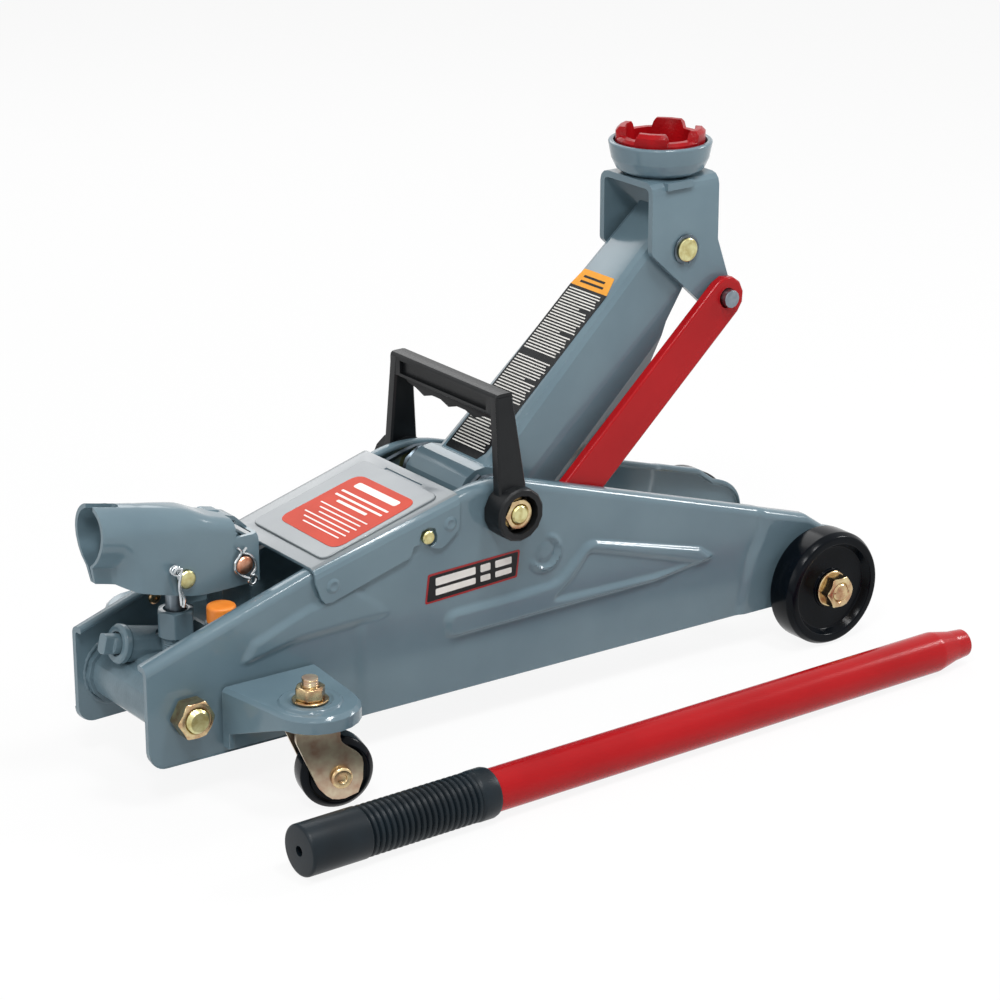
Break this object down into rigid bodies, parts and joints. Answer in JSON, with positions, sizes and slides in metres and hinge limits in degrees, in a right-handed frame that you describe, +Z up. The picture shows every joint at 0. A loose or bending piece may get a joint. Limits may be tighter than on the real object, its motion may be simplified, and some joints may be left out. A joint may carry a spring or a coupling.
{
  "type": "trolley jack",
  "caption": "Compact hydraulic trolley jack with a lifting arm kept level by parallel links, a rotating saddle, swivel rear casters and a separate pump handle.",
  "frame": {"origin": "centre of the bounding box on the floor", "axes": "+X forward from the pump socket to the front wheels, +Y to the left, +Z up"},
  "size_m": [0.452, 0.2514, 0.2821],
  "materials": {
    "grey_paint": "gloss",
    "red_paint": "gloss",
    "yellow_zinc": "satin",
    "bright_steel": "satin",
    "dark_steel": "satin",
    "black_nylon": "matte",
    "black_rubber": "matte",
    "orange_plug": "matte"
  },
  "bodies": {
    "chassis": {"side_plate_right": "grey_paint", "side_plate_left": "grey_paint", "cover_plate": "grey_paint", "cover_rod": "yellow_zinc", "rear_cross_bolt": "yellow_zinc", "rear_nut_right": "yellow_zinc", "rear_nut_left": "yellow_zinc", "caster_bracket_right": "grey_paint", "caster_bracket_left": "grey_paint", "front_axle": "bright_steel", "axle_nut_right": "yellow_zinc", "axle_nut_left": "yellow_zinc", "lift_arm_shaft": "yellow_zinc", "shaft_nut_right": "yellow_zinc", "shaft_nut_left": "yellow_zinc", "link_pivot_pin_right": "dark_steel", "link_pivot_pin_left": "dark_steel", "pump_block": "grey_paint", "gland_nut": "grey_paint", "oil_filler_plug": "orange_plug", "reservoir_tube": "grey_paint", "return_spring_right": "dark_steel", "return_spring_left": "dark_steel", "yoke_pin": "yellow_zinc", "yoke_pin_clip": "bright_steel"},
    "lift_arm": {"lift_arm": "grey_paint"},
    "link_right": {"link_right": "red_paint"},
    "link_left": {"link_left": "red_paint"},
    "saddle_bracket": {"saddle_bracket": "grey_paint", "saddle_pin": "yellow_zinc", "snap_ring_right": "black_nylon", "snap_ring_left": "black_nylon", "link_top_pin_right": "bright_steel", "link_top_pin_left": "bright_steel"},
    "saddle": {"saddle_cup": "grey_paint", "saddle_pad": "red_paint", "saddle_retainer": "dark_steel"},
    "ram": {"ram": "bright_steel", "ram_pin": "dark_steel"},
    "handle_socket": {"handle_socket": "grey_paint", "pump_pin": "yellow_zinc", "pump_pin_clip": "bright_steel"},
    "pump_plunger": {"pump_plunger": "bright_steel"},
    "release_valve": {"release_valve": "grey_paint"},
    "carry_handle": {"carry_handle": "black_nylon"},
    "front_wheel_right": {"front_wheel_right": "black_nylon"},
    "front_wheel_left": {"front_wheel_left": "black_nylon"},
    "caster_fork_right": {"caster_fork_right": "yellow_zinc", "caster_axle_right": "yellow_zinc", "caster_nut_right": "yellow_zinc"},
    "caster_fork_left": {"caster_fork_left": "yellow_zinc", "caster_axle_left": "yellow_zinc", "caster_nut_left": "yellow_zinc"},
    "caster_wheel_right": {"caster_wheel_right": "black_nylon"},
    "caster_wheel_left": {"caster_wheel_left": "black_nylon"},
    "pump_handle": {"pump_handle_bar": "red_paint", "pump_handle_grip": "black_rubber"}
  },
  "joints": [
    {"name": "lift", "type": "hinge", "parent": "chassis", "child": "lift_arm", "pos_m": [-0.01247, 0.02497, 0.11284], "axis": [0, -1, 0], "range_deg": [-51, 19]},
    {"name": "link_right_swing", "type": "hinge", "parent": "chassis", "child": "link_right", "pos_m": [0.01193, 0.02497, 0.08394], "axis": [0, -1, 0], "range_deg": [-51, 19]},
    {"name": "link_left_swing", "type": "hinge", "parent": "chassis", "child": "link_left", "pos_m": [0.01193, 0.02497, 0.08394], "axis": [0, -1, 0], "range_deg": [-51, 19]},
    {"name": "saddle_level", "type": "hinge", "parent": "lift_arm", "child": "saddle_bracket", "pos_m": [0.11834, 0.02497, 0.22125], "axis": [0, -1, 0], "range_deg": [-19, 51]},
    {"name": "saddle_spin", "type": "hinge", "parent": "saddle_bracket", "child": "saddle", "pos_m": [0.11834, 0.02497, 0.26125], "axis": [0, 0, 1], "continuous": true},
    {"name": "ram_travel", "type": "slide", "parent": "chassis", "child": "ram", "axis": [0.9925, 0, 0.1219], "range_m": [-0.0452, 0.0172]},
    {"name": "pump_stroke", "type": "hinge", "parent": "chassis", "child": "handle_socket", "pos_m": [-0.14897, 0.02497, 0.10414], "axis": [0, 1, 0], "range_deg": [-12, 20]},
    {"name": "plunger_travel", "type": "slide", "parent": "chassis", "child": "pump_plunger", "axis": [0, 0, 1], "range_m": [-0.007, 0.0115]},
    {"name": "valve_turn", "type": "hinge", "parent": "chassis", "child": "release_valve", "pos_m": [-0.20567, 0.03722, 0.06764], "axis": [-0.9724, 0, 0.2334], "range_deg": [-90, 90]},
    {"name": "carry_handle_fold", "type": "hinge", "parent": "chassis", "child": "carry_handle", "pos_m": [-0.01247, 0.02497, 0.11284], "axis": [0, -1, 0], "range_deg": [-10, 50]},
    {"name": "front_wheel_right_roll", "type": "hinge", "parent": "chassis", "child": "front_wheel_right", "pos_m": [0.18658, -0.03638, 0.03154], "axis": [0, 1, 0], "continuous": true},
    {"name": "front_wheel_left_roll", "type": "hinge", "parent": "chassis", "child": "front_wheel_left", "pos_m": [0.18658, 0.08632, 0.03154], "axis": [0, 1, 0], "continuous": true},
    {"name": "caster_right_swivel", "type": "hinge", "parent": "chassis", "child": "caster_fork_right", "pos_m": [-0.15247, -0.05248, 0.05004], "axis": [0, 0, 1], "continuous": true},
    {"name": "caster_wheel_right_roll", "type": "hinge", "parent": "caster_fork_right", "child": "caster_wheel_right", "pos_m": [-0.14185, -0.05533, 0.01854], "axis": [0.2588, 0.9659, 0], "continuous": true},
    {"name": "caster_left_swivel", "type": "hinge", "parent": "chassis", "child": "caster_fork_left", "pos_m": [-0.15247, 0.10242, 0.05004], "axis": [0, 0, 1], "continuous": true},
    {"name": "caster_wheel_left_roll", "type": "hinge", "parent": "caster_fork_left", "child": "caster_wheel_left", "pos_m": [-0.14185, 0.10526, 0.01854], "axis": [-0.2588, 0.9659, 0], "continuous": true},
    {"name": "pump_handle_lift", "type": "slide", "parent": "chassis", "child": "pump_handle", "axis": [0, 0, 1], "range_m": [0, 0.3]}
  ],
  "couplings": [
    {"joint": "link_right_swing", "follows": "lift", "ratio": 1},
    {"joint": "link_left_swing", "follows": "lift", "ratio": 1},
    {"joint": "saddle_level", "follows": "lift", "ratio": -1},
    {"joint": "ram_travel", "follows": "lift", "m_per_rad": 0.0498},
    {"joint": "plunger_travel", "follows": "pump_stroke", "m_per_rad": 0.0323}
  ]
}
